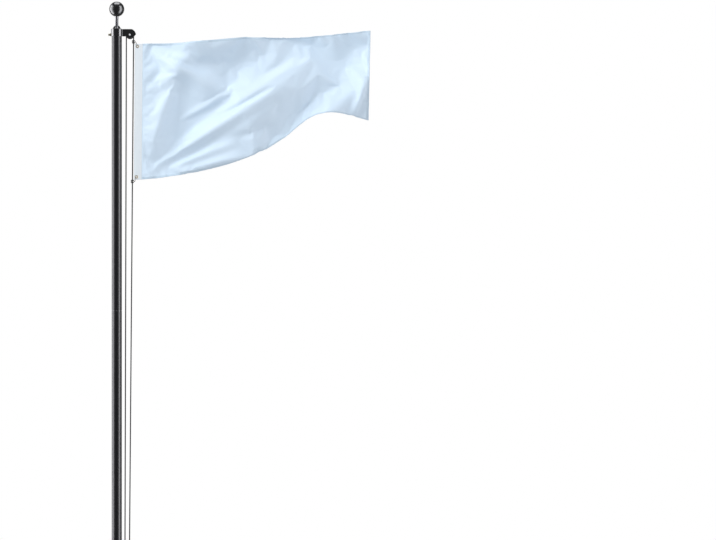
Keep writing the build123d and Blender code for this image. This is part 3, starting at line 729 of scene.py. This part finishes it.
for end in ("upper", "lower"):
    bpy.ops.object.select_all(action="DESELECT")
    bpy.ops.mesh.primitive_cylinder_add(
        vertices=32, radius=0.0052, depth=0.02,
        location=sum(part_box(f"{end}_grommet"), Vector()) / 2, rotation=(math.pi / 2, 0, 0),
    )
    punch = bpy.context.object
    hole = heading.modifiers.new("hole", "BOOLEAN")
    hole.operation = "DIFFERENCE"
    hole.object = punch
    bpy.context.view_layer.objects.active = heading
    bpy.ops.object.modifier_apply(modifier="hole")
    bpy.data.objects.remove(punch)
for face in heading.data.polygons:
    face.use_smooth = True
bpy.context.view_layer.objects.active = heading
heading.select_set(True)
bpy.ops.object.shade_smooth_by_angle(angle=math.radians(40))

canvas = Finish("heading_canvas", sheen_weight=0.2, specular_ior_level=0.25)
yarn_pitch, canvas_depth = 0.0011, 0.00016
grey_canvas, white_canvas = (0.71, 0.765, 0.8), (0.765, 0.815, 0.845)
white_thread = (0.9, 0.91, 0.92)
canvas_across, canvas_up = canvas.uv()
warp = canvas.math("SINE", canvas_up * (2 * math.pi / yarn_pitch))
weft = canvas.math("SINE", canvas_across * (2 * math.pi / yarn_pitch))
weave = warp * weft
canvas_stitches = sewn(canvas, canvas_across, canvas_up, seam_rows)
plain_canvas = canvas.between(canvas.grain(50.0), grey_canvas, white_canvas)
canvas.colour(canvas.between(canvas_stitches, plain_canvas, white_thread))
canvas.roughness(0.8 + 0.08 * weave)
canvas.relief(weave * 0.3 + canvas_stitches * 1.6, canvas_depth)
heading.data.materials.append(canvas.material)
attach(heading, "flag")
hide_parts("flag_heading")


# Grommets. Spun brass eyelets, closed over the canvas with a rounded rim on each face.
brass = Finish("grommet_brass", metallic=1.0)
brass.colour(brass.between(brass.grain(150.0), (0.56, 0.44, 0.22), (0.72, 0.6, 0.34)))
brass.roughness(0.22 + 0.14 * brass.grain(400.0))
brass.relief(brass.grain(500.0), 0.00002)
for end in ("upper", "lower"):
    low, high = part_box(f"{end}_grommet")
    outside, bore, rise = (high.z - low.z) / 2, 0.004, (high.y - low.y) / 2
    roll_radius = (outside - bore) / 2
    bpy.ops.object.select_all(action="DESELECT")
    bpy.ops.mesh.primitive_torus_add(
        major_radius=(outside + bore) / 2, minor_radius=roll_radius,
        major_segments=56, minor_segments=20,
    )
    eyelet = bpy.context.object
    eyelet.name = eyelet.data.name = f"{end}_eyelet"
    bpy.ops.object.mode_set(mode="EDIT")
    bpy.ops.transform.resize(value=(1, 1, rise / roll_radius))
    bpy.ops.object.mode_set(mode="OBJECT")
    turned_to = Matrix((flag_across, flag_up, flag_out)).transposed().to_4x4()
    eyelet.data.transform(Matrix.Translation((low + high) / 2) @ turned_to)
    for face in eyelet.data.polygons:
        face.use_smooth = True
    eyelet.data.materials.append(brass.material)
    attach(eyelet, "flag")
    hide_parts(f"{end}_grommet")


# Snaps. Nickel plated swivel hooks through the grommets, with a slight yellow in the plate.
nickel = Finish("nickel_plate", metallic=1.0)
nickel.colour(nickel.between(nickel.grain(200.0), (0.62, 0.6, 0.57), (0.74, 0.72, 0.69)))
nickel.roughness(0.2 + 0.12 * nickel.grain(500.0))
nickel.relief(nickel.grain(700.0), 0.00001)
dress(nickel, "upper_snap", "lower_snap", "upper_snap_gate", "lower_snap_gate")


# Knots. A finer cord of the same braid, wound round the line in two layers above and below the eye
# of each snap, which holds the eye at its height.
knot_cord = 0.0015
knot_turns = 3.75
knot_points = 90
# The share of a coil at which its inner layer has reached the eye, and the outer one starts back
turn_back = 0.4
down_line = (outer_end - outer_top).normalized()
line_across = (Vector((1, 0, 0)) - down_line * down_line.x).normalized()
line_out = line_across.cross(-down_line)
for end in ("upper", "lower"):
    low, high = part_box(f"{end}_knot")
    middle = (low.z + high.z) / 2
    outside, half = (high.x - low.x) / 2, (high.z - low.z) / 2
    near_eye, far_side = 0.0037, half - knot_cord - 0.0001
    for side, place in ((1, "above"), (-1, "below")):
        route = []
        for number in range(knot_points + 1):
            share = number / knot_points
            angle = side * share * knot_turns * 2 * math.pi
            outer = ease((share - 0.3) / 0.15)
            reach = (rope_radius + knot_cord) * (1 - outer) + (outside - knot_cord) * outer
            sweep = abs(share - turn_back) / (turn_back if share < turn_back else 1 - turn_back)
            height = middle + side * (near_eye + (far_side - near_eye) * sweep)
            centre = outer_top + down_line * ((height - outer_top.z) / down_line.z)
            outward = line_across * math.cos(angle) + line_out * math.sin(angle)
            route.append(centre + outward * reach)
        rope(f"{end}_knot_turns_{place}", smooth_line(route), knot_cord, "flag", f"{end}_knot")


# Studio. A pale floor, a white room behind, and a darker side behind the camera, so that the black
# coats show two tall soft strips. Two large soft lamps, from the upper left and from behind, fall
# on the cloth alone.
bpy.ops.object.select_all(action="DESELECT")
bpy.ops.mesh.primitive_plane_add(size=24.0)
floor = bpy.context.object
floor.name = "studio_floor"
pale = Finish("studio_floor", specular_ior_level=0.2)
pale.colour(pale.between(pale.grain(3.0), (0.86, 0.86, 0.86), (0.88, 0.88, 0.88)))
pale.roughness(0.8 + 0.05 * pale.grain(8.0))
floor.data.materials.append(pale.material)
floor.visible_glossy = False

world = bpy.data.worlds.new("studio")
bpy.context.scene.world = world
world.use_nodes = True
shades = world.node_tree.nodes
links = world.node_tree.links


def world_node(kind, settings, inputs):
    """A node of the world, with its settings first and then its sockets' values or links."""
    made = shades.new("ShaderNode" + kind)
    for name, value in settings.items():
        setattr(made, name, value)
    for name, value in inputs.items():
        if isinstance(value, bpy.types.NodeSocket):
            links.new(value, made.inputs[name])
        else:
            made.inputs[name].default_value = value
    return made.outputs


def world_math(operation, first, second):
    """The output of a Math node of the world."""
    return world_node("Math", {"operation": operation}, {0: first, 1: second})[0]


dark_side, soft_light = 0.042, 0.7
ray = world_node("LightPath", {}, {})
looking = world_node("TexCoord", {}, {})["Generated"]
away = world_node("SeparateXYZ", {}, {0: looking})["Y"]
fading = {"Value": away, "From Min": 0.7, "From Max": 0.97, "To Min": dark_side, "To Max": 1.0}
white_behind = world_node("MapRange", {"interpolation_type": "SMOOTHSTEP"}, fading)[0]
mirrored = world_math("MULTIPLY", white_behind, ray["Is Glossy Ray"])
clear = world_math("MAXIMUM", ray["Is Camera Ray"], ray["Is Transmission Ray"])
shown = world_math("MAXIMUM", clear, mirrored)
soft = world_math("MULTIPLY", ray["Is Diffuse Ray"], soft_light)
strength = world_math("MAXIMUM", shown, soft)
tints = {0: ray["Is Diffuse Ray"], 6: (1, 1, 1, 1), 7: (0.96, 0.99, 1.04, 1)}
tint = world_node("Mix", {"data_type": "RGBA"}, tints)[2]
links.new(tint, shades["Background"].inputs["Color"])
links.new(strength, shades["Background"].inputs["Strength"])


def softbox(name, place, target, width, height, radiance, shines_on="coats"):
    """A rectangular lamp that faces the target and shines on the cloth or shows in the coats."""
    lamp = bpy.data.lights.new(name, "AREA")
    lamp.shape = "RECTANGLE"
    lamp.size = width
    lamp.size_y = height
    lamp.energy = radiance * math.pi * width * height
    lamp_object = bpy.data.objects.new(name, lamp)
    lamp_object.location = place
    facing = Vector(target) - Vector(place)
    lamp_object.rotation_euler = facing.to_track_quat("-Z", "Y").to_euler()
    lamp_object.visible_diffuse = shines_on == "cloth"
    lamp_object.visible_glossy = shines_on == "coats"
    if shines_on == "coats":
        lamp.color = (0.965, 0.965, 1.0)
    bpy.context.scene.collection.objects.link(lamp_object)


softbox("left_strip", (-4.58, 0.05, 5.3), (0, 0, 5.3), 5.1, 10.4, 2.3)
softbox("left_strip_middle", (-4.4, 0.55, 5.3), (0, 0, 5.3), 1.9, 10.0, 2.9)
softbox("right_strip", (4.1, -1.5, 5.3), (0, 0, 5.3), 3.2, 10.4, 2.1)
softbox("right_strip_middle", (3.95, -1.45, 5.3), (0, 0, 5.3), 1.4, 10.0, 2.5)
softbox("top_panel", (0, 0.45, 9.8), (0, 0.4, 6.6), 2.6, 2.3, 4.0)
softbox("key", (-3.6, -2.8, 9.4), (0.6, 0, 6.1), 3.2, 3.2, 7.4, shines_on="cloth")
softbox("rear_key", (3.8, 4.2, 9.4), (0.6, 0, 5.6), 3.2, 3.2, 4.0, shines_on="cloth")


# Camera. Square on to the front of the flag, far off, with the pole's top and the flag in view.
frame_width = 3.58
camera_distance = 15.0
camera = bpy.data.cameras.new("camera")
camera.lens = camera.sensor_width * camera_distance / frame_width
camera_object = bpy.data.objects.new("camera", camera)
camera_object.location = (1.206, -camera_distance, 5.34)
camera_object.rotation_euler = (math.radians(90), 0, 0)
bpy.context.scene.collection.objects.link(camera_object)
bpy.context.scene.camera = camera_object
bpy.context.scene.view_settings.view_transform = "Standard"
